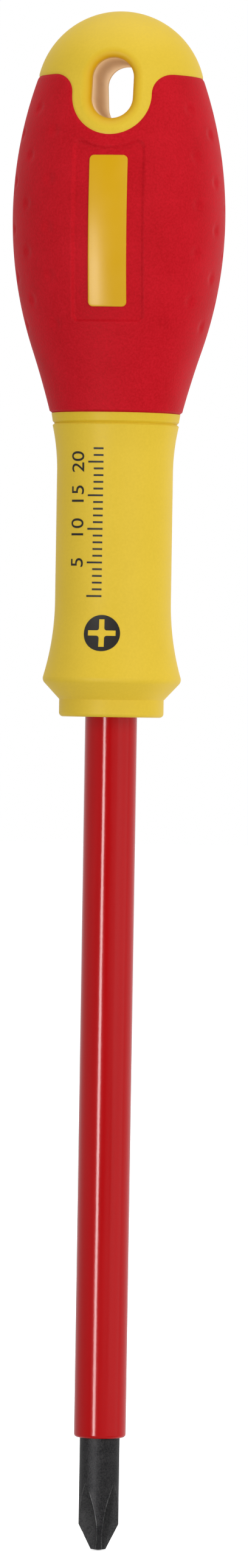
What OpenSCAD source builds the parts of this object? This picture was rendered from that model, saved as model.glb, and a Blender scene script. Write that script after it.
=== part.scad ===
// Insulated screwdriver with a size 2 cross tip: a steel blade in an insulating sleeve, and a handle that
// is moulded in layers round the tang. The end of the tip is at the origin, the blade runs up +Z, and the
// front of the handle, with its label, faces -Y.

/* [Blade] */
// Diameter of the steel bar
bar_d = 6; // [5:0.1:6.6]
// Length of the blade from the handle's nose to the end of the tip
blade_reach = 125; // [75:1:200]
// Length of bare steel at the tip
bare_tip = 17; // [12:0.5:18]
// Length of the tang inside the handle
tang_len = 74; // [64:1:84]
// Chamfer on the end of the tang
tang_chamfer = 0.8; // [0.2:0.1:1.5]
// How far the flattened wings stand out from the tang
wing_reach = 1.8; // [0.8:0.1:2.2]
// Thickness of the wings
wing_t = 2.4; // [1.5:0.1:3]
// Length of the wings along the tang
wing_len = 12; // [6:0.5:14]
// Length of the slope at each end of a wing
wing_slope = 3; // [1:0.5:3]
// Height of the lower pair of wings above the handle's nose
lower_wing_h = 24; // [22:1:28]
// Height of the upper pair of wings above the handle's nose
upper_wing_h = 50; // [46:1:52]

/* [Tip] */
// Diameter of the blunt end of the tip
point_d = 2.3; // [1.6:0.1:3]
// Height of the shallow cone that closes the end of the tip
point_h = 0.2; // [0.1:0.05:0.5]
// Angle between the tip's taper and the axis
taper_angle = 26.5; // [20:0.5:35]
// Distance from the axis to the deepest line of a flute
flute_root = 0.65; // [0.4:0.05:1]
// Height of the flutes' deepest point above the end of the tip
flute_low = 2; // [1:0.25:3]
// Radius of the curve along which a flute runs out
flute_r = 15.4; // [10:0.2:20]
// Angle between the two faces of a flute
flute_angle = 92; // [80:1:100]
// Turn of the tip's wings away from the front of the handle
tip_turn = 10; // [0:1:45]

/* [Sleeve] */
// Wall of the insulating sleeve
sleeve_wall = 0.9; // [0.6:0.1:1.4]
// Rounding of the sleeve's open end
sleeve_edge = 0.5; // [0.2:0.1:0.5]
// Depth of the sleeve's root inside the handle
root_depth = 18; // [10:1:20]
// How far the root stands out from the sleeve
root_step = 0.8; // [0.4:0.1:1.2]
// Length of the slope between the sleeve and its root
root_slope = 1; // [0.5:0.1:2]

/* [Neck] */
// Length of the neck from the nose to the V-groove
neck_len = 43.9; // [38:0.1:60]
// Diameter of the waist
neck_d = 17.4; // [16:0.1:19]
// Wall of the neck over the core
neck_wall = 2.3; // [1.5:0.1:2.6]
// Thickness of the nose under the core
nose_floor = 3; // [2.4:0.1:5]
// Diameter of the nose collar
collar_d = 15.7; // [13:0.1:17]
// Height of the nose collar
collar_h = 2.6; // [1.5:0.1:4]
// Rounding of the nose collar's lower edge
collar_edge = 0.6; // [0.2:0.1:1]
// How far the finger guard stands out from the waist
guard_reach = 1.67; // [1:0.01:5]
// Height of the guard's widest ring above the collar
guard_rise = 3.1; // [2.4:0.1:6]
// Rounding of the guard's rim
guard_edge = 1; // [0.5:0.1:1.5]
// Radius of the hollow between the guard and the waist
guard_flare_r = 40; // [20:1:60]
// How far the neck flares out below the V-groove
groove_flare = 0.77; // [0.4:0.01:2]
// Radius of the hollow between the waist and the V-groove
groove_flare_r = 31; // [15:1:50]
// Depth of the V-groove
groove = 0.3; // [0.1:0.05:0.5]

/* [Grip] */
// Height of the carrier's band between the V-groove and the grip
band_h = 1.5; // [1:0.1:4]
// How far the band flares out towards the grip
band_flare = 0.2; // [0:0.05:0.5]
// How far the grip's lower edge stands out from the band
grip_lip = 0.2; // [0.1:0.05:0.6]
// Chamfer on the grip's lower edge
grip_edge = 0.3; // [0.1:0.05:0.5]
// Length of the grip from its lower edge to the cap's seam
grip_len = 50.25; // [46:0.25:65]
// Largest diameter of the grip
grip_d = 31.9; // [29:0.1:38]
// Height of the grip's widest ring above its lower edge
belly_h = 29.3; // [26:0.1:34]
// Diameter at which the belly turns into the hollow below it
turn_d = 25.4; // [23:0.1:27]
// Height of that turn above the grip's lower edge
turn_h = 9.5; // [7:0.1:14]
// Thickness of the soft grip over its carrier
grip_wall = 2.4; // [1.8:0.1:2.8]
// Number of ribs on the carrier that key the grip
rib_count = 6; // [4:1:8]
// Angle that a rib takes up
rib_angle = 10; // [6:1:16]
// How far a rib stands into the grip
rib_h = 0.9; // [0.5:0.1:1.2]
// Distance from a rib's ends to the turn below and to the tongue above
rib_gap = 2; // [1:0.5:4]

/* [Core] */
// Length of the core's cone from the neck's bore to the head
cone_len = 10; // [6:1:14]
// Height of the cone's lower end above the grip's lower edge
cone_start = 2; // [1:0.5:4]
// Number of keys that lock the core to the neck and to the carrier
key_count = 4; // [2:1:6]
// Width of a key
key_w = 3; // [2:0.1:4]
// How far a key stands out from the core
key_h = 0.8; // [0.4:0.1:1.2]
// Length of the keys in the neck
neck_key_len = 16; // [8:1:20]
// Length of the keys in the carrier
head_key_len = 20; // [10:1:24]
// Distance from the cone to the keys above it
head_key_gap = 2; // [1:0.5:4]
// Wall of the core's eyelet, which lines the hang hole
eyelet_wall = 1.2; // [0.8:0.1:1.4]
// Depth of the eyelet's ends below the cap's surface
eyelet_drop = 1.8; // [1.6:0.1:2.4]

/* [Cap] */
// Height of the dome above the seam
dome_h = 10; // [8:0.05:12]
// Diameter of the handle at the seam between grip and cap
seam_d = 24.7; // [23:0.1:27]
// Wall of the cap over the core's round head
cap_wall = 4.3; // [3.6:0.1:5]
// Width of the tongues on the front and back
tongue_w = 12; // [10:0.1:14]
// Distance from the seam to the lower end of a tongue
tongue_drop = 9.3; // [7.5:0.1:11]
// Rounding of the grip's corners beside a tongue
tongue_fillet = 3; // [1:0.1:4]
// Width of the hang hole
hole_w = 6.2; // [4.5:0.1:7]
// Height of the hang hole
hole_h = 9.2; // [7.2:0.1:10]
// Distance from the top of the dome to the middle of the hang hole
hole_drop = 12.2; // [11:0.05:12.5]

/* [Panel and label] */
// Width of the sunk panels on the front and back of the grip
panel_w = 10.5; // [8:0.1:12]
// Length of a panel along its middle
panel_len = 25.6; // [24:0.1:28]
// Distance between a tongue and the panel below it
panel_gap = 2; // [1:0.1:4]
// Depth of a panel below the grip's surface
panel_depth = 0.4; // [0.2:0.05:0.8]
// Rounding of a panel's corners
panel_edge = 0.8; // [0.3:0.1:1.5]
// Width of the label
label_w = 5.7; // [4:0.1:7.5]
// Length of the label
label_len = 22.4; // [16:0.1:22.8]
// Distance from the label to the upper end of the panel, along its middle
label_gap = 1.1; // [0.5:0.1:1.1]
// Thickness of the label
label_t = 0.25; // [0.1:0.05:0.35]
// Rounding of the label's corners
label_edge = 0.7; // [0.2:0.1:1.5]

/* [Dimples] */
// Diameter of a dimple
dimple_d = 2.6; // [1.5:0.1:3]
// Depth of a dimple
dimple_depth = 0.25; // [0.1:0.05:0.5]
// Angle from the middle of the panel to the first column
first_column = 35.5; // [34:0.5:40]
// Number of columns on each side
columns = 7; // [3:1:7]
// Number of dimples in a column
rows = 5; // [2:1:5]
// Distance between the dimples in a column
row_pitch = 7.15; // [5:0.05:7.2]
// Height of the middle row above the grip's widest ring
row_shift = -2; // [-3:0.1:0]

/* [Hidden] */
$fn = 120;
// How far the chords of a round profile may lie from its arc, outside the handle and between its layers
fine = 0.01;
coarse = 0.03;
// Larger than any radius of the handle
far = 2 * grip_d;

// Heights, from the nose to the top
nose_z = blade_reach;
collar_z = nose_z + collar_h;
groove_z = nose_z + neck_len;
grip_z = groove_z + band_h;
turn_z = grip_z + turn_h;
belly_z = grip_z + belly_h;
seam_z = grip_z + grip_len;
top_z = seam_z + dome_h;

// Radii, from the axis outwards
bar_r = bar_d / 2;
sleeve_r = bar_r + sleeve_wall;
root_r = sleeve_r + root_step;
collar_r = collar_d / 2;
neck_r = neck_d / 2;
groove_r = neck_r + groove_flare;
band_r = groove_r + band_flare;
low_r = band_r + grip_lip;
turn_r = turn_d / 2;
belly_r = grip_d / 2;
seam_r = seam_d / 2;
tongue_r = tongue_w / 2;

// Arcs of the neck: the guard's rounded rim, the line below it and the hollows on both sides of the waist
rim_c = [neck_r + guard_reach - guard_edge, collar_z + guard_rise];
rim_span = rim_c - [collar_r, collar_z];
rim_low_angle = atan2(rim_span.y, rim_span.x) - asin(guard_edge / norm(rim_span)) - 90;
rim_high_angle = acos((neck_r + guard_flare_r - rim_c.x) / (guard_flare_r + guard_edge));
guard_flare_c = rim_c + (guard_flare_r + guard_edge) * [cos(rim_high_angle), sin(rim_high_angle)];
groove_angle = acos(1 - groove_flare / groove_flare_r);
groove_flare_c = [neck_r + groove_flare_r, groove_z - groove - groove_flare_r * sin(groove_angle)];

// Arcs of the grip: belly above and below the widest ring, and the hollow that runs to the lower edge
belly_top_r = arc_r(seam_z - belly_z, belly_r - seam_r);
belly_top_c = [belly_r - belly_top_r, belly_z];
belly_low_r = arc_r(belly_z - turn_z, belly_r - turn_r);
belly_low_c = [belly_r - belly_low_r, belly_z];
turn_angle = asin((belly_z - turn_z) / belly_low_r);
turn_normal = [cos(turn_angle), -sin(turn_angle)];
turn_span = [turn_r - low_r, turn_z - grip_z];
// Negative where the stretch is hollow
hollow_r = (turn_span * turn_span) / (2 * turn_span * turn_normal);
hollow_c = [turn_r, turn_z] - hollow_r * turn_normal;

// The dome, the middle of the hang hole, and the core's round head
dome_r = arc_r(seam_r, dome_h);
dome_z = top_z - dome_r;
hole_z = top_z - hole_drop;
head_r = dome_r - cap_wall;
core_r = neck_r - neck_wall;
cone_z = grip_z + cone_start;

// Middle of a tongue's round end, the corners above it and the panel below it
tongue_z = seam_z - tongue_drop + tongue_r;
corner_r = min(tongue_fillet, seam_z - tongue_z);
panel_crown = tongue_r + panel_gap;
panel_low = tongue_z - panel_crown - panel_len;
panel_side = panel_w / 2 - panel_edge;
panel_high = tongue_z - leg(panel_crown, panel_side);

// Second short side of a right triangle
function leg(long_side, side) = sqrt(long_side * long_side - side * side);

// Radius of an arc that starts along a length and has moved sideways by a width at its end
function arc_r(length, width) = (length * length + width * width) / (2 * width);

// Points of an arc between two angles of its outward normal, hollow where the radius is negative
function arc(c, r, a0, a1, first = 0, sag = fine) =
    let (steps = ceil(abs(a1 - a0) / (2 * acos(1 - sag / abs(r)))))
    [for (i = [first:steps]) let (a = a0 + (a1 - a0) * i / steps) c + r * [cos(a), sin(a)]];

// Radius of the grip's outside at a height
function grip_r(z) =
    z > belly_z ? belly_top_c.x + leg(belly_top_r, z - belly_z) :
    z > turn_z ? belly_low_c.x + leg(belly_low_r, z - belly_z) :
    hollow_c.x + sign(hollow_r) * leg(hollow_r, z - hollow_c.y);

// Outside of the grip, or of what lies below it by an inset, from a height up to the seam
function grip_points(inset = 0, sag = fine, low = grip_z) =
    let (low_angle = asin((low - hollow_c.y) / (hollow_r - inset)))
    let (top_angle = asin((seam_z - belly_z) / (belly_top_r - inset)))
    concat(
        arc(hollow_c, hollow_r - inset, low_angle, -turn_angle, 0, sag),
        arc(belly_low_c, belly_low_r - inset, -turn_angle, 0, 1, sag),
        arc(belly_top_c, belly_top_r - inset, 0, top_angle, 1, sag));

// Outside of the neck: collar, guard, waist and the flare up to the V-groove
neck_points = concat(
    arc([collar_r - collar_edge, nose_z + collar_edge], collar_edge, -90, 0),
    [[collar_r, collar_z]],
    arc(rim_c, guard_edge, rim_low_angle, rim_high_angle),
    arc(guard_flare_c, -guard_flare_r, rim_high_angle, 0, 1),
    arc(groove_flare_c, -groove_flare_r, 0, -groove_angle),
    [[groove_r - groove, groove_z]]);

// Outside of the sleeve, with its thicker root in the handle
sleeve_points = concat(
    arc([sleeve_r - sleeve_edge, bare_tip + sleeve_edge], sleeve_edge, -90, 0),
    [[sleeve_r, nose_z],
     [root_r, nose_z + root_slope],
     [root_r, nose_z + root_depth]]);

// Outside of the core: a stem in the neck, a cone and a round head
core_points = concat(
    [[core_r, nose_z + nose_floor],
     [core_r, cone_z],
     [head_r, cone_z + cone_len]],
    arc([0, dome_z], head_r, 0, 90, 0, coarse));

// Outside of the carrier: the band below the grip, then the tube inside it
carrier_points = concat(
    [[groove_r - groove, groove_z],
     [groove_r, groove_z + groove],
     [band_r, grip_z]],
    grip_points(grip_wall, coarse));

// Outside of the soft grip, with a chamfer on its lower edge
skin_points = concat([[low_r - grip_edge, grip_z]], grip_points(low = grip_z + grip_edge));

// Outside of the bar, from the end of the tip to the end of the tang
bar_points = [
    [point_d / 2, point_h],
    [bar_r, point_h + (bar_r - point_d / 2) / tan(taper_angle)],
    [bar_r, nose_z + tang_len - tang_chamfer],
    [bar_r - tang_chamfer, nose_z + tang_len]];

// Solid of revolution inside a profile, which is closed along the axis
module turned(points, low = undef) {
    z0 = is_undef(low) ? points[0].y : low;
    z1 = points[len(points) - 1].y;
    rotate_extrude() polygon(concat([[0, z0]], points, points[len(points) - 1].x > 0 ? [[0, z1]] : []));
}

// Prism from a front view, through the whole handle or from the axis to the front
module through() rotate([90, 0, 0]) linear_extrude(2 * far, center = true) children();
module to_front() rotate([90, 0, 0]) linear_extrude(far) children();

// Rectangle with round corners, about the middle of its lower side
module rounded_rectangle(w, h, edge) {
    x = w / 2 - edge;
    polygon(concat(
        arc([x, edge], edge, -90, 0),
        arc([x, h - edge], edge, 0, 90),
        arc([-x, h - edge], edge, 90, 180),
        arc([-x, edge], edge, 180, 270)));
}

// Front view of the cap: the dome, a tongue with a round end, and hollow corners between them
module cap_face() {
    corner_x = tongue_r + corner_r;
    corner_z = seam_z - corner_r;
    polygon(concat(
        [[far, seam_z], [far, top_z + dome_h], [-far, top_z + dome_h], [-far, seam_z]],
        arc([-corner_x, corner_z], corner_r, 90, 0),
        arc([0, tongue_z], tongue_r, 180, 360),
        arc([corner_x, corner_z], corner_r, 180, 90)));
}

// Front view of a panel, hollow at the top to follow the tongue
module panel_face() {
    crown_angle = asin(panel_side / panel_crown);
    polygon(concat(
        arc([panel_side, panel_low + panel_edge], panel_edge, -90, 0),
        arc([panel_side, panel_high - panel_edge], panel_edge, 0, 90),
        arc([0, tongue_z], panel_crown, crown_angle - 90, -crown_angle - 90, 1),
        arc([-panel_side, panel_high - panel_edge], panel_edge, 90, 180, 1),
        arc([-panel_side, panel_low + panel_edge], panel_edge, 180, 270)));
}

// Front view of the label, below the panel's upper end
module label_face() translate([0, panel_low + panel_len - label_gap - label_len])
    rounded_rectangle(label_w, label_len, label_edge);

// Hang hole: a slot with half-round ends, or what surrounds it by a wall, through the cap and the core
module hang_hole(wall = 0) translate([0, 0, hole_z]) through() {
    for (side = [-1, 1]) translate([0, side * (hole_h - hole_w) / 2]) circle(hole_w / 2 + wall);
    square([hole_w + 2 * wall, hole_h - hole_w], center = true);
}

// Eyelet on the core, which lines the hang hole up to the cap's skin on the front and back
module eyelet() {
    low = hole_z - hole_h / 2 - 2 * eyelet_wall;
    high = hole_z + hole_h / 2 + 2 * eyelet_wall;
    intersection() {
        turned([[grip_r(low) - eyelet_drop, low], [leg(dome_r, high - dome_z) - eyelet_drop, high]]);
        hang_hole(eyelet_wall);
        through() cap_face();
    }
}

// Keys on the core from one height up, standing out from a radius
module keys(z, r, length) for (i = [0:key_count - 1]) rotate([0, 0, (i + 0.5) * 360 / key_count])
    translate([0, -key_w / 2, z]) cube([r + key_h, key_w, length]);

// The core before the blade, the sleeve and the hang hole are taken out of it
module core_blank() {
    turned(core_points);
    keys(nose_z + root_depth, core_r, neck_key_len);
    keys(cone_z + cone_len + head_key_gap, head_r, head_key_len);
    eyelet();
}

// Ribs on the carrier, from the head's radius out into the grip
module ribs() {
    rib_z = turn_z + rib_gap;
    rib_len = tongue_z - tongue_r - rib_gap - rib_z;
    for (i = [0:rib_count - 1]) rotate([0, 0, i * 360 / rib_count - rib_angle / 2])
        rotate_extrude(angle = rib_angle) intersection() {
            translate([head_r, rib_z]) square([far, rib_len]);
            polygon(concat([[0, grip_z]], grip_points(grip_wall - rib_h, coarse), [[0, seam_z]]));
        }
}

// Room for the panels above their floor
module panel_room() difference() {
    through() panel_face();
    turned(grip_points(panel_depth));
}

// Balls that press the dimples into both sides of the grip, with every other column half a pitch higher
module dimples() {
    ball_r = arc_r(dimple_d / 2, dimple_depth);
    column_angle = (180 - 2 * first_column) / (columns - 1);
    for (side = [0, 1], column = [0:columns - 1], row = [0:rows - 1]) {
        z = belly_z + row_shift + (row - (rows - 1) / 2 + (column % 2) / 2) * row_pitch;
        rotate([0, 0, side * 180 - 90 + first_column + column * column_angle])
            translate([grip_r(z) + ball_r - dimple_depth, 0, z]) sphere(ball_r);
    }
}

// Pair of flattened wings across the tang
module wings(z, turn) {
    span = bar_r + wing_reach;
    rotate([0, 0, turn]) translate([0, 0, z]) rotate([90, 0, 0]) linear_extrude(wing_t, center = true)
        polygon([[bar_r / 2, 0], [span, wing_slope], [span, wing_len - wing_slope], [bar_r / 2, wing_len],
            [-bar_r / 2, wing_len], [-span, wing_len - wing_slope], [-span, wing_slope], [-bar_r / 2, 0]]);
}

// The bar and its wings, before the flutes are ground
module bar() {
    turned(bar_points, 0);
    wings(nose_z + lower_wing_h, 0);
    wings(nose_z + upper_wing_h, 90);
}

// Wheel with a V-shaped rim that grinds one flute
module flute_wheel() {
    half_w = bar_d * tan(flute_angle / 2);
    translate([flute_root + flute_r, 0, flute_low]) rotate([90, 0, 0])
        turned([[flute_r - bar_d, -half_w], [flute_r, 0], [flute_r - bar_d, half_w]]);
}

module blade() color("dimgray") difference() {
    bar();
    for (a = [45:90:315]) rotate([0, 0, a + tip_turn]) flute_wheel();
}

module blade_sleeve() color("firebrick") difference() {
    turned(sleeve_points);
    bar();
}

module tang_core() color("tan") difference() {
    core_blank();
    bar();
    turned(sleeve_points);
    hang_hole();
}

module handle_neck() color("gold") difference() {
    turned(neck_points);
    core_blank();
    turned(sleeve_points);
}

module grip_carrier() color("goldenrod") difference() {
    union() {
        turned(carrier_points);
        ribs();
    }
    core_blank();
    through() cap_face();
}

module soft_grip() color("crimson") difference() {
    turned(skin_points);
    turned(carrier_points);
    ribs();
    through() cap_face();
    panel_room();
    dimples();
}

module end_cap() color("gold") difference() {
    intersection() {
        turned(concat(grip_points(), arc([0, dome_z], dome_r, asin((seam_z - dome_z) / dome_r), 90, 1)));
        through() cap_face();
    }
    core_blank();
    hang_hole();
}

module label_plate() color("orange") intersection() {
    difference() {
        turned(grip_points(panel_depth - label_t));
        turned(grip_points(panel_depth));
    }
    to_front() label_face();
}

blade();
blade_sleeve();
tang_core();
handle_neck();
grip_carrier();
soft_grip();
end_cap();
label_plate();
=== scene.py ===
from math import acos, asin, atan2, cos, hypot, pi, radians, sin, sqrt, tan

import bmesh
import bpy
from mathutils import Matrix, Vector
from mathutils.kdtree import KDTree


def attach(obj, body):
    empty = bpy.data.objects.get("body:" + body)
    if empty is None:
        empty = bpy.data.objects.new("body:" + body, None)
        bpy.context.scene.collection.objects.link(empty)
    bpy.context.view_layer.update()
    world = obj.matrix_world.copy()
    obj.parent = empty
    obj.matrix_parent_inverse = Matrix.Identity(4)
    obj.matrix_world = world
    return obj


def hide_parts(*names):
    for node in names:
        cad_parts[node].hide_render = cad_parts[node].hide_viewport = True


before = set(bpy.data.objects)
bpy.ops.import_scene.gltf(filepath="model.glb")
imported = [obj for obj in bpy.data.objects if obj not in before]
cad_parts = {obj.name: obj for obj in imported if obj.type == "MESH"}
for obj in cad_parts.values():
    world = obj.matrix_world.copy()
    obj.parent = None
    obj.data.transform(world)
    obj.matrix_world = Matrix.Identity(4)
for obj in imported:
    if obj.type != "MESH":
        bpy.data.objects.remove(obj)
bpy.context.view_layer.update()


# Blade: a 6 mm bar of tool steel, blackened all over. Four flutes are ground into its end for a size 2
# cross recess, the blackening is thinner on their faces, and paler steel along their edges is a painted
# highlight.
MM = 0.001
bar_radius = 3.0
tip_turn = 10.0
flute_root = 0.65
flute_low = 2.0
flute_radius = 15.4
flute_angle = 92.0
highlight_start = 0.04
highlight_end = 0.13
edge_blur = 0.02
flute_skin = 0.1
grit_scale = 5000.0
grit_depth = 0.03
oxide_scale = 700.0
highlight_breakup_scale = 420.0
black_dark = (0.022, 0.022, 0.024)
black_light = (0.066, 0.064, 0.065)
thinned_dark = (0.045, 0.045, 0.047)
thinned_light = (0.1, 0.098, 0.098)
highlight_steel_dark = (0.05, 0.05, 0.05)
highlight_steel_light = (0.28, 0.28, 0.28)


def add_node(tree, kind, **settings):
    """One shader node with its settings, and with inputs named by in_ and the socket's name."""
    node = tree.nodes.new(kind)
    for name, value in settings.items():
        if name.startswith("in_"):
            node.inputs[name[3:].replace("_", " ")].default_value = value
        else:
            setattr(node, name, value)
    return node


def new_material(name):
    """A material that holds a Principled shader and the object's own coordinates."""
    material = bpy.data.materials.new(name)
    material.use_nodes = True
    tree = material.node_tree
    coords = add_node(tree, "ShaderNodeTexCoord").outputs["Object"]
    return material, tree, tree.nodes["Principled BSDF"], coords


def cloud(tree, coords, scale, detail=3.0):
    """Soft noise with blotches of about 1 / scale metres."""
    noise = add_node(tree, "ShaderNodeTexNoise", in_Scale=scale, in_Detail=detail)
    tree.links.new(coords, noise.inputs["Vector"])
    return noise.outputs["Fac"]


def spread(tree, value, low, high, start=0.3, end=0.7):
    """A noise value spread between two levels."""
    span = add_node(tree, "ShaderNodeMapRange", in_From_Min=start, in_From_Max=end, in_To_Min=low,
                    in_To_Max=high)
    tree.links.new(value, span.inputs["Value"])
    return span.outputs["Result"]


def blended(tree, value, first, second):
    """A colour between two others, by a value from 0 to 1."""
    ramp = add_node(tree, "ShaderNodeValToRGB")
    ramp.color_ramp.elements[0].color = (*first, 1)
    ramp.color_ramp.elements[1].color = (*second, 1)
    tree.links.new(value, ramp.inputs["Fac"])
    return ramp.outputs["Color"]


def bumped(tree, shader, height, depth):
    """Raise the surface by a height pattern of a depth in metres."""
    bump = add_node(tree, "ShaderNodeBump", in_Strength=1.0, in_Distance=depth)
    tree.links.new(height, bump.inputs["Height"])
    tree.links.new(bump.outputs["Normal"], shader.inputs["Normal"])


def worked(tree, operation, first, second):
    """A sum on two values, of which the second may be a plain number."""
    node = add_node(tree, "ShaderNodeMath", operation=operation)
    tree.links.new(first, node.inputs[0])
    if isinstance(second, float):
        node.inputs[1].default_value = second
    else:
        tree.links.new(second, node.inputs[1])
    return node.outputs["Value"]


def within(tree, value, low, high, soft):
    """1 where a value lies between two limits, falling softly to 0 outside them."""
    above = spread(tree, value, 0.0, 1.0, low - soft, low)
    below = spread(tree, value, 1.0, 0.0, high, high + soft)
    return worked(tree, "MULTIPLY", above, below)


def mixed(tree, share, first, second):
    """One colour laid over another by a share from 0 to 1."""
    mix = add_node(tree, "ShaderNodeMixRGB")
    tree.links.new(share, mix.inputs["Fac"])
    tree.links.new(first, mix.inputs["Color1"])
    tree.links.new(second, mix.inputs["Color2"])
    return mix.outputs["Color"]


def flute_reach(tree, coords):
    """How deep a point lies in the V-edged wheel that ground the nearest flute: 0 on the flute's face."""
    turned_coords = add_node(tree, "ShaderNodeMapping", in_Rotation=(0, 0, -radians(45 + tip_turn)))
    tree.links.new(coords, turned_coords.inputs["Vector"])
    folded = add_node(tree, "ShaderNodeVectorMath", operation="ABSOLUTE")
    tree.links.new(turned_coords.outputs["Vector"], folded.inputs[0])
    place = add_node(tree, "ShaderNodeSeparateXYZ")
    tree.links.new(folded.outputs["Vector"], place.inputs["Vector"])
    outward = worked(tree, "MAXIMUM", place.outputs["X"], place.outputs["Y"])
    sideways = worked(tree, "MINIMUM", place.outputs["X"], place.outputs["Y"])
    in_wheel = add_node(tree, "ShaderNodeCombineXYZ")
    tree.links.new(outward, in_wheel.inputs["X"])
    tree.links.new(place.outputs["Z"], in_wheel.inputs["Z"])
    from_hub = add_node(tree, "ShaderNodeVectorMath", operation="DISTANCE")
    from_hub.inputs[1].default_value = ((flute_root + flute_radius) * MM, 0, flute_low * MM)
    tree.links.new(in_wheel.outputs["Vector"], from_hub.inputs[0])
    slope = worked(tree, "MULTIPLY", sideways, 1 / tan(radians(flute_angle / 2)))
    from_edge = worked(tree, "ADD", from_hub.outputs["Value"], slope)
    outside = worked(tree, "SUBTRACT", from_edge, flute_radius * MM)
    return worked(tree, "MULTIPLY", outside, -1.0)


blackened_steel, tree, shader, coords = new_material("blackened_steel")
grit = cloud(tree, coords, grit_scale, 5.0)
oxide = worked(tree, "ADD", cloud(tree, coords, oxide_scale), spread(tree, grit, -0.5, 0.5))
reach = flute_reach(tree, coords)
# Painted highlight: paler steel in a thin band along each flute's edge, broken up by noise.
highlight_band = within(tree, reach, -highlight_end * MM, -highlight_start * MM, edge_blur * MM)
highlight_breakup = spread(tree, cloud(tree, coords, highlight_breakup_scale), 0.0, 1.0, 0.38, 0.62)
painted_edge_highlight = worked(tree, "MULTIPLY", highlight_band, highlight_breakup)
in_flute = within(tree, reach, -edge_blur * MM, flute_skin * MM, edge_blur * MM)
black = blended(tree, oxide, black_dark, black_light)
thinned = blended(tree, oxide, thinned_dark, thinned_light)
highlight_steel = blended(tree, oxide, highlight_steel_dark, highlight_steel_light)
steel_colour = mixed(tree, painted_edge_highlight, mixed(tree, in_flute, black, thinned), highlight_steel)
tree.links.new(steel_colour, shader.inputs["Base Color"])
shader.inputs["Metallic"].default_value = 0.8
tree.links.new(spread(tree, grit, 0.46, 0.62), shader.inputs["Roughness"])
bumped(tree, shader, grit, grit_depth * MM)
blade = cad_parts["blade"]
blade.data.materials.clear()
blade.data.materials.append(blackened_steel)


# Sleeve: a tube of hard, glossy red plastic that insulates the bar from the tip up into the handle. It is
# moulded over the steel. Its open end is rounded over, and its root inside the handle is thicker.
sleeve_end = 17.0
sleeve_top = 143.0
nose = 125.0
sleeve_radius = 3.9
root_radius = 4.7
root_slope = 1.0
sleeve_edge = 0.5
sleeve_sides = 96
streak_scale = 700.0
streak_stretch = (1.0, 1.0, 0.03)
ripple_scale = 420.0
ripple_depth = 0.012
red_gloss_dark = (0.42, 0.0005, 0.002)
red_gloss_light = (0.48, 0.001, 0.003)


def turned(profile, steps):
    """A closed profile of radius and height, turned once round the blade's axis."""
    bm = bmesh.new()
    verts = [bm.verts.new((r, 0.0, z)) for r, z in profile]
    edges = [bm.edges.new(pair) for pair in zip(verts, verts[1:] + verts[:1])]
    bmesh.ops.spin(bm, geom=verts + edges, cent=(0, 0, 0), axis=(0, 0, 1), angle=2 * pi, steps=steps,
                   use_merge=True)
    bmesh.ops.remove_doubles(bm, verts=bm.verts, dist=0.0005)
    bmesh.ops.recalc_face_normals(bm, faces=bm.faces)
    return bm


def made(name, bm, material, nodes, crease=35):
    """Scale a shape from millimetres, give it its finish and let it ride on the tool."""
    bmesh.ops.scale(bm, vec=(MM, MM, MM), verts=bm.verts)
    mesh = bpy.data.meshes.new(name)
    bm.to_mesh(mesh)
    bm.free()
    mesh.shade_smooth()
    mesh.set_sharp_from_angle(angle=radians(crease))
    mesh.materials.append(material)
    piece = bpy.data.objects.new(name, mesh)
    bpy.context.scene.collection.objects.link(piece)
    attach(piece, "root")
    if nodes:
        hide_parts(*nodes)
    return piece


sleeve = turned([
    (bar_radius, sleeve_end),
    (sleeve_radius, sleeve_end),
    (sleeve_radius, nose),
    (root_radius, nose + root_slope),
    (root_radius, sleeve_top),
    (bar_radius, sleeve_top)], sleeve_sides)
rim = [e for e in sleeve.edges
       if all(v.co.z < sleeve_end + 0.01 and hypot(v.co.x, v.co.y) > bar_radius + 0.1 for v in e.verts)]
bmesh.ops.bevel(sleeve, geom=rim, offset=sleeve_edge, segments=6, profile=0.5, affect="EDGES", material=-1)


def stretched(tree, coords, scale):
    """The same coordinates, longer or shorter along each axis."""
    mapping = add_node(tree, "ShaderNodeMapping", in_Scale=scale)
    tree.links.new(coords, mapping.inputs["Vector"])
    return mapping.outputs["Vector"]


red_gloss, tree, shader, coords = new_material("red_gloss")
streaks = cloud(tree, stretched(tree, coords, streak_stretch), streak_scale)
ripple = cloud(tree, coords, ripple_scale, 2.0)
tree.links.new(blended(tree, streaks, red_gloss_dark, red_gloss_light), shader.inputs["Base Color"])
tree.links.new(spread(tree, streaks, 0.13, 0.2), shader.inputs["Roughness"])
bumped(tree, shader, ripple, ripple_depth * MM)
shader.inputs["Specular IOR Level"].default_value = 0.4
made("sleeve", sleeve, red_gloss, ["blade_sleeve"])


# Core: tan hard plastic that is moulded round the tang before the handle's coloured layers. It shows only
# as the walls of the hang hole.
mottle_scale = 500.0
core_grain_scale = 3000.0
core_grain_depth = 0.01
tan_dark = (0.94, 0.72, 0.46)
tan_light = (0.98, 0.77, 0.52)

tan_core, tree, shader, coords = new_material("tan_core")
mottle = cloud(tree, coords, mottle_scale)
tree.links.new(blended(tree, mottle, tan_dark, tan_light), shader.inputs["Base Color"])
tree.links.new(spread(tree, mottle, 0.7, 0.85), shader.inputs["Roughness"])
bumped(tree, shader, cloud(tree, coords, core_grain_scale), core_grain_depth * MM)
shader.inputs["Specular IOR Level"].default_value = 0.05
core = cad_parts["tang_core"]
core.data.materials.clear()
core.data.materials.append(tan_core)


# Neck: the yellow hard plastic of the handle below the grip, moulded in one shot. A collar closes the nose,
# a low guard stops the fingers, and a slim waist flares out to the V-groove above it.
collar_radius = 7.85
collar_top = 127.6
collar_edge = 0.6
rim_edge = 1.0
rim_middle = Vector((9.37, 130.7))
waist_radius = 8.7
guard_hollow = 40.0
groove_hollow = 31.0
groove_radius = 9.47
groove_depth = 0.3
groove_z = 168.9
bore_radius = 6.4
nose_floor = 3.0
neck_sides = 128
moulding_scale = 2600.0
moulding_depth = 0.012
drift_scale = 140.0
neck_yellow_dark = (0.71, 0.485, 0.03)
neck_yellow_light = (0.77, 0.535, 0.04)

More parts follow.
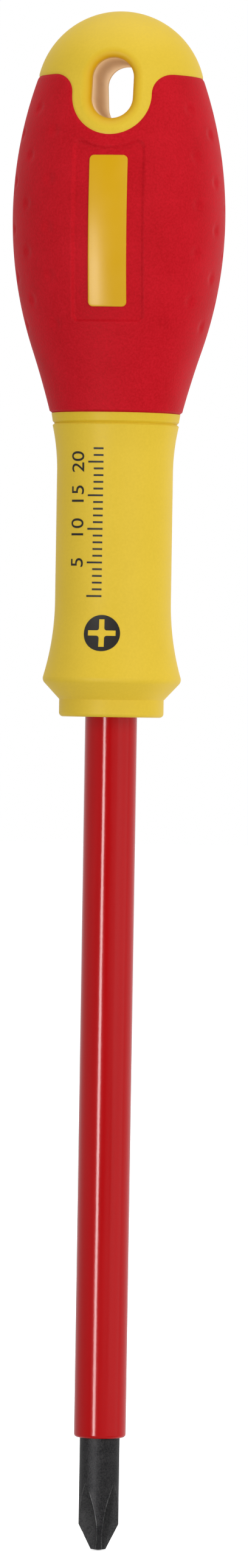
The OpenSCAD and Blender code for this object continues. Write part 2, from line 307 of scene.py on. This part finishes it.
rim_span = rim_middle - Vector((collar_radius, collar_top))
rim_low = atan2(rim_span.y, rim_span.x) - asin(rim_edge / rim_span.length) - pi / 2
rim_high = acos((waist_radius + guard_hollow - rim_middle.x) / (guard_hollow + rim_edge))
guard_middle = rim_middle + (guard_hollow + rim_edge) * Vector((cos(rim_high), sin(rim_high)))
groove_turn = acos(1 - (groove_radius - waist_radius) / groove_hollow)
groove_start = groove_z - groove_depth - groove_hollow * sin(groove_turn)
groove_middle = Vector((waist_radius + groove_hollow, groove_start))


def arc(middle, radius, start, end, steps):
    """Points of an arc between two angles of its outward side, hollow where the radius is negative."""
    turns = [start + (end - start) * i / steps for i in range(steps + 1)]
    return [(middle[0] + radius * cos(a), middle[1] + radius * sin(a)) for a in turns]


def neck_radius(z):
    """Outside radius of the neck between the guard and the V-groove."""
    if z < guard_middle.y:
        return guard_middle.x - sqrt(guard_hollow ** 2 - (z - guard_middle.y) ** 2)
    if z < groove_middle.y:
        return waist_radius
    return groove_middle.x - sqrt(groove_hollow ** 2 - (z - groove_middle.y) ** 2)


neck = turned(
    [(bore_radius, groove_z), (bore_radius, nose + nose_floor), (root_radius, nose + nose_floor),
     (root_radius, nose + root_slope), (sleeve_radius, nose)]
    + arc((collar_radius - collar_edge, nose + collar_edge), collar_edge, -pi / 2, 0, 6)
    + [(collar_radius, collar_top)]
    + arc(rim_middle, rim_edge, rim_low, rim_high, 10)
    + arc(guard_middle, -guard_hollow, rim_high, 0, 24)[1:]
    + arc(groove_middle, -groove_hollow, 0, -groove_turn, 16)
    + [(groove_radius - groove_depth, groove_z)], neck_sides)


def moulded_yellow(name, dark, light):
    """Satin hard plastic with a faint moulding grain and slow drifts of colour."""
    material, tree, shader, coords = new_material(name)
    grain = cloud(tree, coords, moulding_scale, 4.0)
    drift = worked(tree, "ADD", cloud(tree, coords, drift_scale), spread(tree, grain, -0.25, 0.25))
    tree.links.new(blended(tree, drift, dark, light), shader.inputs["Base Color"])
    tree.links.new(spread(tree, grain, 0.4, 0.54), shader.inputs["Roughness"])
    bumped(tree, shader, grain, moulding_depth * MM)
    shader.inputs["Specular IOR Level"].default_value = 0.2
    return material


yellow = moulded_yellow("yellow", neck_yellow_dark, neck_yellow_light)
made("neck", neck, yellow, ["handle_neck"])


# Print on the neck: black ink, pad-printed on the waist. A disc with a cross stands for the shape of the tip,
# and a plain scale of millimetres with its numbers runs up the neck beside it.
disc_radius = 2.7
disc_z = 137.5
disc_turn = -4.0
cross_reach = 2.05
cross_width = 0.8
cross_fillet = 0.35
scale_z = 143.0
scale_length = 22
scale_turn = -5.0
numbers_turn = -32.0
number_size = 3.3
long_tick = 2.4
short_tick = 1.5
tick_width = 0.28
ink_root = 0.01
ink_thickness = 0.035
ink_strip = 0.35
speckle_scale = 5000.0
ink_dark = (0.006, 0.005, 0.004)
ink_light = (0.018, 0.014, 0.01)


def wrapped(bm, turn, low):
    """Cut a flat print into narrow strips and lay them round the neck as a thin layer of ink."""
    across = [v.co.x for v in bm.verts]
    cut = min(across)
    while cut < max(across):
        bmesh.ops.bisect_plane(bm, geom=bm.verts[:] + bm.edges[:] + bm.faces[:], plane_co=(cut, 0, 0),
                               plane_no=(1, 0, 0), dist=0.0001)
        cut += ink_strip
    for v in bm.verts:
        z = low + v.co.y
        r = neck_radius(z) - ink_root
        a = radians(turn) + v.co.x / waist_radius
        v.co = (r * sin(a), -r * cos(a), z)
    bmesh.ops.recalc_face_normals(bm, faces=bm.faces)
    for f in bm.faces:
        if f.normal.dot(f.calc_center_median() * Vector((1, 1, 0))) < 0:
            f.normal_flip()
    bmesh.ops.solidify(bm, geom=bm.faces[:], thickness=-ink_thickness)
    bmesh.ops.recalc_face_normals(bm, faces=bm.faces)
    return bm


def plate(outline):
    """A flat face inside an outline."""
    bm = bmesh.new()
    bm.faces.new([bm.verts.new((x, y, 0)) for x, y in outline])
    return bm


def joined(parts):
    """Several shapes put into one."""
    whole = bmesh.new()
    for bm in parts:
        mesh = bpy.data.meshes.new("part")
        bm.to_mesh(mesh)
        bm.free()
        whole.from_mesh(mesh)
        bpy.data.meshes.remove(mesh)
    return whole


def numeral(value, size):
    """A plain number as a flat shape, turned to read up the neck."""
    curve = bpy.data.curves.new("numeral", "FONT")
    curve.body = str(value)
    curve.size = size
    curve.align_x = "CENTER"
    curve.align_y = "CENTER"
    text = bpy.data.objects.new("numeral", curve)
    mesh = bpy.data.meshes.new_from_object(text)
    bm = bmesh.new()
    bm.from_mesh(mesh)
    bmesh.ops.rotate(bm, verts=bm.verts, matrix=Matrix.Rotation(pi / 2, 3, "Z"))
    bpy.data.objects.remove(text)
    bpy.data.curves.remove(curve)
    bpy.data.meshes.remove(mesh)
    return bm


half = cross_width / 2
arm = [(cross_reach, -half), (cross_reach, half)]
arm += arc((half + cross_fillet, half + cross_fillet), cross_fillet, 1.5 * pi, pi, 5)
cross = [Matrix.Rotation(turn * pi / 2, 2) @ Vector(point) for turn in range(4) for point in arm]
disc = bmesh.new()
for outline in (arc((0, 0), disc_radius, 0, 2 * pi, 60)[:-1], cross):
    ring = [disc.verts.new((x, y, 0)) for x, y in outline]
    for pair in zip(ring, ring[1:] + ring[:1]):
        disc.edges.new(pair)
bmesh.ops.triangle_fill(disc, edges=disc.edges[:], use_beauty=True, use_dissolve=False)
prints = [wrapped(disc, disc_turn, disc_z)]
for step in range(scale_length + 1):
    length = long_tick if step % 5 == 0 else short_tick
    low, high = -tick_width / 2, tick_width / 2
    tick = plate([(-length, low), (0, low), (0, high), (-length, high)])
    prints.append(wrapped(tick, scale_turn, scale_z + step))
for value in range(5, scale_length + 1, 5):
    prints.append(wrapped(numeral(value, number_size), numbers_turn, scale_z + value))

black_ink, tree, shader, coords = new_material("black_ink")
speckle = cloud(tree, coords, speckle_scale)
tree.links.new(blended(tree, speckle, ink_dark, ink_light), shader.inputs["Base Color"])
tree.links.new(spread(tree, speckle, 0.45, 0.6), shader.inputs["Roughness"])
made("neck_print", joined(prints), black_ink, [])


# Carrier: the yellow tube inside the soft grip. Only its band between the V-groove and the grip shows, a
# shade darker than the neck.
band_yellow_dark = (0.68, 0.46, 0.02)
band_yellow_light = (0.73, 0.5, 0.027)

band_yellow = moulded_yellow("yellow_band", band_yellow_dark, band_yellow_light)
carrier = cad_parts["grip_carrier"]
carrier.data.materials.clear()
carrier.data.materials.append(band_yellow)


# Grip: soft red rubber moulded over the carrier. It swells to a belly, is cut away round the cap's tongues,
# has a sunk panel on the front and back, and columns of shallow dimples on both sides.
grip_z = 170.4
grip_low_radius = 9.87
grip_edge = 0.35
turn_z = 179.9
turn_radius = 12.7
belly_z = 199.7
belly_radius = 15.95
seam_z = 220.65
seam_radius = 12.35
grip_wall = 2.4
tongue_radius = 6.0
tongue_length = 9.3
tongue_z = seam_z - tongue_length + tongue_radius
tongue_fillet = 3.0
panel_half = 5.25
panel_gap = 2.0
panel_crown = tongue_radius + panel_gap
panel_length = 25.6
panel_low = tongue_z - panel_crown - panel_length
panel_corner = 0.9
panel_depth = 0.4
panel_step = 0.5
dimple_radius = 1.35
dimple_depth = 0.24
first_column = 35.5
columns = 7
rows = 5
row_pitch = 7.15
middle_row = belly_z - 2.0
shoulder = 0.45
shoulder_drop = 0.14
clear_radius = 30.0
clear_top = 250.0
grip_front = radians(24)
grip_front_steps = 52
grip_side_steps = 58
rubber_scale = 3200.0
rubber_depth = 0.045
tint_scale = 160.0
red_soft_dark = (0.455, 0.0025, 0.008)
red_soft_light = (0.57, 0.007, 0.017)

top_fall = belly_radius - seam_radius
low_fall = belly_radius - turn_radius
top_arc = ((seam_z - belly_z) ** 2 + top_fall ** 2) / (2 * top_fall)
low_arc = ((belly_z - turn_z) ** 2 + low_fall ** 2) / (2 * low_fall)
top_middle = (belly_radius - top_arc, belly_z)
low_middle = (belly_radius - low_arc, belly_z)
turn_angle = asin((belly_z - turn_z) / low_arc)
turn_normal = Vector((cos(turn_angle), -sin(turn_angle)))
turn_span = Vector((turn_radius - grip_low_radius, turn_z - grip_z))
hollow_arc = turn_span.length_squared / (2 * turn_span.dot(turn_normal))
hollow_middle = Vector((turn_radius, turn_z)) - hollow_arc * turn_normal


def grip_radius(z):
    """Outside radius of the grip at a height."""
    if z > belly_z:
        return top_middle[0] + sqrt(top_arc ** 2 - (z - belly_z) ** 2)
    if z > turn_z:
        return low_middle[0] + sqrt(low_arc ** 2 - (z - belly_z) ** 2)
    return hollow_middle.x - sqrt(hollow_arc ** 2 - (z - hollow_middle.y) ** 2)


def seam_distance(x, z):
    """Distance in the front view from the line between grip and cap, negative inside the cap."""
    x = abs(x)
    corner = Vector((tongue_radius + tongue_fillet, seam_z - tongue_fillet))
    if z < tongue_z:
        return min(hypot(x, z - tongue_z) - tongue_radius, seam_z - z)
    if x < corner.x and z > corner.y:
        return tongue_fillet - hypot(x - corner.x, z - corner.y)
    return min(x - tongue_radius, seam_z - z)


def rounded(a, b, radius):
    """Distance into a corner between two sides, with the corner rounded."""
    if a < radius and b < radius:
        return radius - hypot(radius - a, radius - b)
    return min(a, b)


def panel_inset(x, z):
    """Distance in the front view from a panel's outline, positive inside it."""
    side = panel_half - abs(x)
    crown = hypot(x, z - tongue_z) - panel_crown
    return min(rounded(side, z - panel_low, panel_corner), rounded(side, crown, 2 * panel_corner))


def smooth(value, low, high):
    """A soft step from 0 to 1."""
    t = min(max((value - low) / (high - low), 0.0), 1.0)
    return t * t * (3 - 2 * t)


def quarter_turned(profile, front_angle, front_steps, side_steps):
    """A closed profile turned a quarter, finer near the front, and mirrored to the other three quarters."""
    bm = bmesh.new()
    verts = [bm.verts.new((0.0, -r, z)) for r, z in profile]
    last = verts + [bm.edges.new(pair) for pair in zip(verts, verts[1:] + verts[:1])]
    for angle, steps in ((front_angle, front_steps), (pi / 2 - front_angle, side_steps)):
        result = bmesh.ops.spin(bm, geom=last, cent=(0, 0, 0), axis=(0, 0, 1), angle=angle, steps=steps)
        last = result["geom_last"]
    for axis in ("X", "Y"):
        bmesh.ops.mirror(bm, geom=bm.verts[:] + bm.edges[:] + bm.faces[:], axis=axis, merge_dist=0.0005)
    bmesh.ops.remove_doubles(bm, verts=bm.verts, dist=0.0005)
    bmesh.ops.recalc_face_normals(bm, faces=bm.faces)
    return bm


def carved(body, tool, operation):
    """Cut one closed shape with another."""
    pieces = []
    for bm in (body, tool):
        mesh = bpy.data.meshes.new("cutting")
        bm.to_mesh(mesh)
        bm.free()
        piece = bpy.data.objects.new("cutting", mesh)
        bpy.context.scene.collection.objects.link(piece)
        pieces.append(piece)
    cut = pieces[0].modifiers.new("cut", "BOOLEAN")
    cut.operation = operation
    cut.solver = "EXACT"
    cut.object = pieces[1]
    graph = bpy.context.evaluated_depsgraph_get()
    shape = bpy.data.meshes.new_from_object(pieces[0].evaluated_get(graph))
    result = bmesh.new()
    result.from_mesh(shape)
    bpy.data.meshes.remove(shape)
    for piece in pieces:
        mesh = piece.data
        bpy.data.objects.remove(piece)
        bpy.data.meshes.remove(mesh)
    return result


def pushed_through(outline, reach):
    """A front view as a solid that runs through the whole handle, from front to back."""
    bm = bmesh.new()
    face = bm.faces.new([bm.verts.new((x, -reach, z)) for x, z in outline])
    pushed = bmesh.ops.extrude_face_region(bm, geom=[face])["geom"]
    far_verts = [v for v in pushed if isinstance(v, bmesh.types.BMVert)]
    bmesh.ops.translate(bm, vec=(0, 2 * reach, 0), verts=far_verts)
    bmesh.ops.recalc_face_normals(bm, faces=bm.faces)
    return bm


def cap_prism():
    """Everything above the seam and inside the tongues, through the whole handle."""
    corner = (tongue_radius + tongue_fillet, seam_z - tongue_fillet)
    outline = [(clear_radius, seam_z), (clear_radius, clear_top)]
    outline += [(-clear_radius, clear_top), (-clear_radius, seam_z)]
    outline += arc((-corner[0], corner[1]), tongue_fillet, pi / 2, 0, 10)
    outline += arc((0, tongue_z), tongue_radius, pi, 2 * pi, 47)
    outline += arc(corner, tongue_fillet, pi, pi / 2, 10)
    return pushed_through(outline, clear_radius)


hollow_low = asin((grip_z + grip_edge - hollow_middle.y) / hollow_arc)
seam_turn = asin((seam_z - belly_z) / top_arc)
grip_outside = (
    arc(hollow_middle, hollow_arc, hollow_low, -turn_angle, 28)
    + arc(low_middle, low_arc, -turn_angle, 0, 62)[1:]
    + arc(top_middle, top_arc, 0, seam_turn, 105)[1:])
grip_inside = [(r - grip_wall, z) for r, z in grip_outside[::-8]]
grip_foot = [(grip_low_radius - grip_wall, grip_z), (grip_low_radius - grip_edge, grip_z)]
grip = quarter_turned(
    grip_foot[1:] + grip_outside + grip_inside + grip_foot[:1], grip_front, grip_front_steps, grip_side_steps)
grip = carved(grip, cap_prism(), "DIFFERENCE")

dimples = KDTree(2 * columns * rows)
column_pitch = (180 - 2 * first_column) / (columns - 1)
for side in (-90, 90):
    for column in range(columns):
        for row in range(rows):
            z = middle_row + (row - (rows - 1) / 2 + (column % 2) / 2) * row_pitch
            a = radians(side + first_column + column * column_pitch)
            dimples.insert((grip_radius(z) * cos(a), grip_radius(z) * sin(a), z), 0)
dimples.balance()
for v in grip.verts:
    r = hypot(v.co.x, v.co.y)
    if v.co.z < grip_z + grip_edge or r < grip_radius(v.co.z) - 0.05:
        continue
    sink = 0.0
    away = dimples.find(v.co)[2] / dimple_radius
    if away < 1:
        sink += dimple_depth * (0.5 + 0.5 * cos(pi * away))
    if abs(v.co.y) > abs(v.co.x):
        sink += panel_depth * smooth(panel_inset(v.co.x, v.co.z), -panel_step / 2, panel_step / 2)
    edge = min(max(seam_distance(v.co.x, v.co.z), 0.0) / shoulder, 1.0)
    sink += shoulder_drop * (1 - edge) ** 2
    v.co.x *= (r - sink) / r
    v.co.y *= (r - sink) / r

red_soft, tree, shader, coords = new_material("red_soft")
grain = cloud(tree, coords, rubber_scale, 5.0)
tint = worked(tree, "ADD", cloud(tree, coords, tint_scale), spread(tree, grain, -0.4, 0.4))
tree.links.new(blended(tree, tint, red_soft_dark, red_soft_light), shader.inputs["Base Color"])
tree.links.new(spread(tree, grain, 0.48, 0.64), shader.inputs["Roughness"])
bumped(tree, shader, grain, rubber_depth * MM)
shader.inputs["Specular IOR Level"].default_value = 0.07
shader.inputs["Sheen Weight"].default_value = 0.02
shader.inputs["Sheen Roughness"].default_value = 0.5
shader.inputs["Sheen Tint"].default_value = (1.0, 0.75, 0.75, 1)
made("grip", grip, red_soft, ["soft_grip"])


# Cap: yellow hard plastic that closes the handle's end, moulded over the core and its eyelet. Its dome runs
# down into a tongue on the front and back. The hang hole's mouths are rounded so that they don't fray a cord,
# and a deeper orange is painted over their rounding as painted shade.
dome_top = 230.65
dome_radius = (seam_radius ** 2 + (dome_top - seam_z) ** 2) / (2 * (dome_top - seam_z))
dome_z = dome_top - dome_radius
cap_wall = 4.3
head_radius = dome_radius - cap_wall
cap_low = tongue_z - tongue_radius - 0.5
cap_front = radians(35)
cap_front_steps = 45
cap_side_steps = 35
hole_half = 3.1
hole_straight = 1.5
hole_drop = 12.2
hole_z = dome_top - hole_drop
eyelet_wall = 1.2
eyelet_drop = 1.8
eyelet_sides = 126
mouth = 1.6
mouth_turn = radians(72)
mouth_steps = 12
mouth_flare = 2.5
mouth_clear = 9.0
seam_softness = 0.65
seam_fill = 0.03
mouth_shade_start = 0.2
mouth_shade_dark = (0.7, 0.42, 0.01)
mouth_shade_light = (0.66, 0.35, 0.004)


def cap_radius(z):
    """Outside radius of the cap and its tongues at a height."""
    if z < seam_z:
        return grip_radius(z)
    return sqrt(max(dome_radius ** 2 - (z - dome_z) ** 2, 0.0))


def hole_ring(offset):
    """Outline of the hang hole in the front view, widened all round by an offset."""
    r = hole_half + offset
    upper = arc((0, hole_z + hole_straight), r, 0, pi, 41)
    lower = arc((0, hole_z - hole_straight), r, pi, 2 * pi, 41)
    return upper + lower


def hole_cutter():
    """A plug in the hang hole's shape that flares out over the rounded mouths on the front and back."""
    levels = []
    for i in range(mouth_steps + 1):
        a = mouth_turn * i / mouth_steps
        levels.append((mouth * (1 - cos(a)), mouth * (1 - sin(a))))
    offset, depth = levels[-1]
    levels.append((offset + mouth_flare * sin(mouth_turn), depth - mouth_flare * cos(mouth_turn)))
    levels.append((offset + mouth_flare * sin(mouth_turn), -mouth_clear))
    bm = bmesh.new()
    ring = [bm.verts.new((x, 0.0, z)) for x, z in hole_ring(0.0)]
    edges = [bm.edges.new(pair) for pair in zip(ring, ring[1:] + ring[:1])]
    for offset, depth in levels:
        pushed = bmesh.ops.extrude_edge_only(bm, edges=edges)["geom"]
        edges = [e for e in pushed if isinstance(e, bmesh.types.BMEdge)]
        fresh = [v for v in pushed if isinstance(v, bmesh.types.BMVert)]
        for v, (x, z) in zip(fresh, hole_ring(offset)):
            face_y = sqrt(max(cap_radius(z) ** 2 - x ** 2, 0.0))
            v.co = (x, -(face_y - depth), z)
    bmesh.ops.contextual_create(bm, geom=edges)
    bmesh.ops.mirror(bm, geom=bm.verts[:] + bm.edges[:] + bm.faces[:], axis="Y", merge_dist=0.0001)
    bmesh.ops.remove_doubles(bm, verts=bm.verts, dist=0.0005)
    bmesh.ops.recalc_face_normals(bm, faces=bm.faces)
    return bm


def eyelet_room():
    """Room in the cap for the core's eyelet, whose ends lie just under the cap's skin."""
    slot = pushed_through(hole_ring(eyelet_wall), clear_radius)
    reach = hole_straight + hole_half + 2 * eyelet_wall
    low_radius = cap_radius(hole_z - reach) - eyelet_drop
    high_radius = cap_radius(hole_z + reach) - eyelet_drop
    cone = bmesh.new()
    bmesh.ops.create_cone(cone, cap_ends=True, segments=eyelet_sides, radius1=low_radius, radius2=high_radius,
                          depth=2 * reach)
    bmesh.ops.translate(cone, vec=(0, 0, hole_z), verts=cone.verts)
    return carved(slot, cone, "INTERSECT")


seam_rise = asin((seam_z - dome_z) / dome_radius)
tongue_turn = asin((cap_low - belly_z) / top_arc)
cap_outside = (
    arc(top_middle, top_arc, tongue_turn, seam_turn, 40)
    + arc((0, dome_z), dome_radius, seam_rise, pi / 2, 70)[1:])
cap_outside = [(r + seam_fill * max(1 - abs(z - seam_z) / seam_softness, 0) ** 2, z) for r, z in cap_outside]
cap_inside = arc((0, dome_z), head_radius, pi / 2, 0, 24) + [(head_radius, cap_low)]
cap = quarter_turned(cap_outside + cap_inside, cap_front, cap_front_steps, cap_side_steps)
cap = carved(cap, cap_prism(), "INTERSECT")
cap = carved(cap, eyelet_room(), "DIFFERENCE")
cap = carved(cap, hole_cutter(), "DIFFERENCE")
for v in cap.verts:
    r = hypot(v.co.x, v.co.y)
    if r < cap_radius(v.co.z) - 0.03:
        continue
    edge = min(max(-seam_distance(v.co.x, v.co.z), 0.0) / shoulder, 1.0)
    sink = shoulder_drop * (1 - edge) ** 2
    v.co.x *= (r - sink) / max(r, 0.001)
    v.co.y *= (r - sink) / max(r, 0.001)

cap_yellow = moulded_yellow("cap_yellow", neck_yellow_dark, neck_yellow_light)
tree = cap_yellow.node_tree
shader = tree.nodes["Principled BSDF"]
full_yellow = shader.inputs["Base Color"].links[0].from_socket
# Painted shade: a deeper orange over the rounded mouths of the hang hole, strongest at the hole and fading
# out across the rounding.
from_hole = add_node(tree, "ShaderNodeMapping", in_Location=(0, 0, -hole_z * MM))
tree.links.new(add_node(tree, "ShaderNodeTexCoord").outputs["Object"], from_hole.inputs["Vector"])
folded = add_node(tree, "ShaderNodeVectorMath", operation="ABSOLUTE")
tree.links.new(from_hole.outputs["Vector"], folded.inputs[0])
place = add_node(tree, "ShaderNodeSeparateXYZ")
tree.links.new(folded.outputs["Vector"], place.inputs["Vector"])
above_straight = worked(tree, "SUBTRACT", place.outputs["Z"], hole_straight * MM)
past_straight = worked(tree, "MAXIMUM", above_straight, 0.0)
beside = add_node(tree, "ShaderNodeCombineXYZ")
tree.links.new(place.outputs["X"], beside.inputs["X"])
tree.links.new(past_straight, beside.inputs["Z"])
from_middle = add_node(tree, "ShaderNodeVectorMath", operation="LENGTH")
tree.links.new(beside.outputs["Vector"], from_middle.inputs[0])
mouth_shade = spread(tree, from_middle.outputs["Value"], 0.9, 0.0, (hole_half + mouth_shade_start) * MM,
              (hole_half + mouth) * MM)
mouth_shade_colour = blended(tree, mouth_shade, mouth_shade_dark, mouth_shade_light)
tree.links.new(mixed(tree, mouth_shade, full_yellow, mouth_shade_colour), shader.inputs["Base Color"])
made("cap", cap, cap_yellow, ["end_cap"])


# Label: a thin plate of glossy golden plastic, curved to the grip and stuck into the sunk panel on its front.
# Its corners and the edge of its face are rounded, and it is left bare.
label_half = 2.85
label_length = 22.4
label_gap = 1.1
label_low = tongue_z - panel_crown - label_gap - label_length
label_corner = 0.7
label_thickness = 0.25
label_edge = 0.08
label_columns = 24
label_rows = 60
gloss_scale = 220.0
wave_scale = 900.0
wave_depth = 0.006
gold_dark = (0.66, 0.36, 0.0005)
gold_light = (0.7, 0.39, 0.002)

label = plate([(-label_half, 0), (label_half, 0), (label_half, label_length), (-label_half, label_length)])
bmesh.ops.bevel(label, geom=label.verts[:], offset=label_corner, segments=6, profile=0.5, affect="VERTICES",
                material=-1)
lifted = bmesh.ops.extrude_face_region(label, geom=label.faces[:])["geom"]
face_verts = [v for v in lifted if isinstance(v, bmesh.types.BMVert)]
bmesh.ops.translate(label, vec=(0, 0, label_thickness), verts=face_verts)
bmesh.ops.recalc_face_normals(label, faces=label.faces)
face_edges = [e for e in label.edges if all(v.co.z > label_thickness / 2 for v in e.verts)]
bmesh.ops.bevel(label, geom=face_edges, offset=label_edge, segments=3, profile=0.5, affect="EDGES",
                material=-1)
cuts = [(Vector((2 * i / label_columns - 1, 0, 0)) * label_half, (1, 0, 0)) for i in range(1, label_columns)]
cuts += [(Vector((0, i / label_rows, 0)) * label_length, (0, 1, 0)) for i in range(1, label_rows)]
for point, across in cuts:
    bmesh.ops.bisect_plane(label, geom=label.verts[:] + label.edges[:] + label.faces[:], dist=0.0001,
                           plane_co=point, plane_no=across)
for v in label.verts:
    z = label_low + v.co.y
    r = grip_radius(z) - panel_depth + v.co.z
    v.co = (v.co.x, -sqrt(r ** 2 - v.co.x ** 2), z)
bmesh.ops.recalc_face_normals(label, faces=label.faces)

label_gold, tree, shader, coords = new_material("label_gold")
gloss = cloud(tree, coords, gloss_scale)
tree.links.new(blended(tree, gloss, gold_dark, gold_light), shader.inputs["Base Color"])
tree.links.new(spread(tree, gloss, 0.28, 0.36), shader.inputs["Roughness"])
bumped(tree, shader, cloud(tree, coords, wave_scale, 2.0), wave_depth * MM)
shader.inputs["Specular IOR Level"].default_value = 0.3
shader.inputs["Coat Weight"].default_value = 0.1
shader.inputs["Coat Roughness"].default_value = 0.2
made("label", label, label_gold, ["label_plate"])


# Studio: a pale floor under the tip, soft white light from all round with large boxes on the right and above,
# a narrow box that draws the bright line down the sleeve, and the camera at the photograph's angle. The floor
# neither lights the tool nor shows in its gloss.
aim_height = 0.115
aim_right = 0.00209
camera_distance = 1.271
camera_turn = radians(6.4)
camera_rise = radians(0.6)
camera_roll = radians(0.91)
sensor = 24.0
photo_height = 2576
photo_scale = 10960
floor_size = 6.0
floor_grey = (0.86, 0.86, 0.86)
floor_white = (0.9, 0.9, 0.9)
front_light = 0.06
back_light = 0.95
gloss_light = 0.8
scene = bpy.context.scene
scene.view_settings.view_transform = "Standard"

floor_bm = bmesh.new()
bmesh.ops.create_grid(floor_bm, x_segments=8, y_segments=8, size=floor_size)
floor_mesh = bpy.data.meshes.new("floor")
floor_bm.to_mesh(floor_mesh)
floor_bm.free()
floor_paint, tree, shader, coords = new_material("floor_paint")
drift = cloud(tree, coords, 3.0)
tree.links.new(blended(tree, drift, floor_grey, floor_white), shader.inputs["Base Color"])
shader.inputs["Roughness"].default_value = 0.9
shader.inputs["Specular IOR Level"].default_value = 0.0
shader.inputs["Emission Color"].default_value = (1, 1, 1, 1)
shader.inputs["Emission Strength"].default_value = 0.65
floor_mesh.materials.append(floor_paint)
floor = bpy.data.objects.new("floor", floor_mesh)
floor.visible_diffuse = False
floor.visible_glossy = False
floor.visible_shadow = False
scene.collection.objects.link(floor)

world = bpy.data.worlds.new("studio")
scene.world = world
world.use_nodes = True
tree = world.node_tree
fill = tree.nodes["Background"]
fill.inputs["Color"].default_value = (1, 1, 1, 1)
direction = add_node(tree, "ShaderNodeSeparateXYZ")
tree.links.new(add_node(tree, "ShaderNodeTexCoord").outputs["Generated"], direction.inputs["Vector"])
light_path = add_node(tree, "ShaderNodeLightPath")
dimmed = spread(tree, light_path.outputs["Is Glossy Ray"], 1.0, gloss_light, 0.0, 1.0)
around = spread(tree, direction.outputs["Y"], front_light, back_light, -1.0, 1.0)
tree.links.new(worked(tree, "MULTIPLY", around, dimmed), fill.inputs["Strength"])
backdrop = add_node(tree, "ShaderNodeBackground", in_Color=(1, 1, 1, 1), in_Strength=1.0)
both = add_node(tree, "ShaderNodeMixShader")
tree.links.new(light_path.outputs["Is Camera Ray"], both.inputs[0])
tree.links.new(fill.outputs[0], both.inputs[1])
tree.links.new(backdrop.outputs[0], both.inputs[2])
tree.links.new(both.outputs[0], tree.nodes["World Output"].inputs["Surface"])


def soft_box(name, turn, rise, distance, width, height, brightness):
    """A softbox that faces the tool from an angle round it and above it."""
    lamp = bpy.data.lights.new(name, "AREA")
    lamp.shape = "RECTANGLE"
    lamp.size = width
    lamp.size_y = height
    lamp.energy = pi * width * height * brightness
    box = bpy.data.objects.new(name, lamp)
    a, b = radians(turn), radians(rise)
    middle = Vector((0, 0, aim_height))
    box.location = Vector((sin(a) * cos(b), -cos(a) * cos(b), sin(b))) * distance + middle
    box.rotation_euler = (middle - box.location).to_track_quat("-Z", "Y").to_euler()
    scene.collection.objects.link(box)
    return box


soft_box("right_box", turn=65, rise=15, distance=1.3, width=1.4, height=1.6, brightness=0.35)
soft_box("top_box", turn=0, rise=88, distance=1.6, width=2.0, height=2.0, brightness=1.1)
fill_boxes = [
    ("front_box", 35, 10, 2.1),
    ("left_box", -55, 10, 1.05),
    ("low_box", 10, -40, 1.25),
    ("back_box", 155, -15, 2.0)]
for name, turn, rise, brightness in fill_boxes:
    box = soft_box(name, turn, rise, distance=1.5, width=1.4, height=1.4, brightness=brightness)
    box.visible_glossy = False
line_box = soft_box("line_box", turn=-21.4, rise=-11.5, distance=1.2, width=0.2, height=0.62, brightness=16.0)
line_box.visible_diffuse = False

camera_data = bpy.data.cameras.new("camera")
camera_data.sensor_fit = "VERTICAL"
camera_data.sensor_height = sensor
camera_data.lens = sensor * camera_distance * photo_scale / photo_height
camera = bpy.data.objects.new("camera", camera_data)
right = Vector((cos(camera_turn), sin(camera_turn), 0))
aim = right * aim_right + Vector((0, 0, aim_height))
forward = Vector((sin(camera_turn), -cos(camera_turn), 0))
toward = forward * cos(camera_rise) + Vector((0, 0, sin(camera_rise)))
camera.location = aim + toward * camera_distance
facing = (-toward).to_track_quat("-Z", "Y").to_matrix() @ Matrix.Rotation(camera_roll, 3, "Z")
camera.rotation_euler = facing.to_euler()
scene.collection.objects.link(camera)
scene.camera = camera
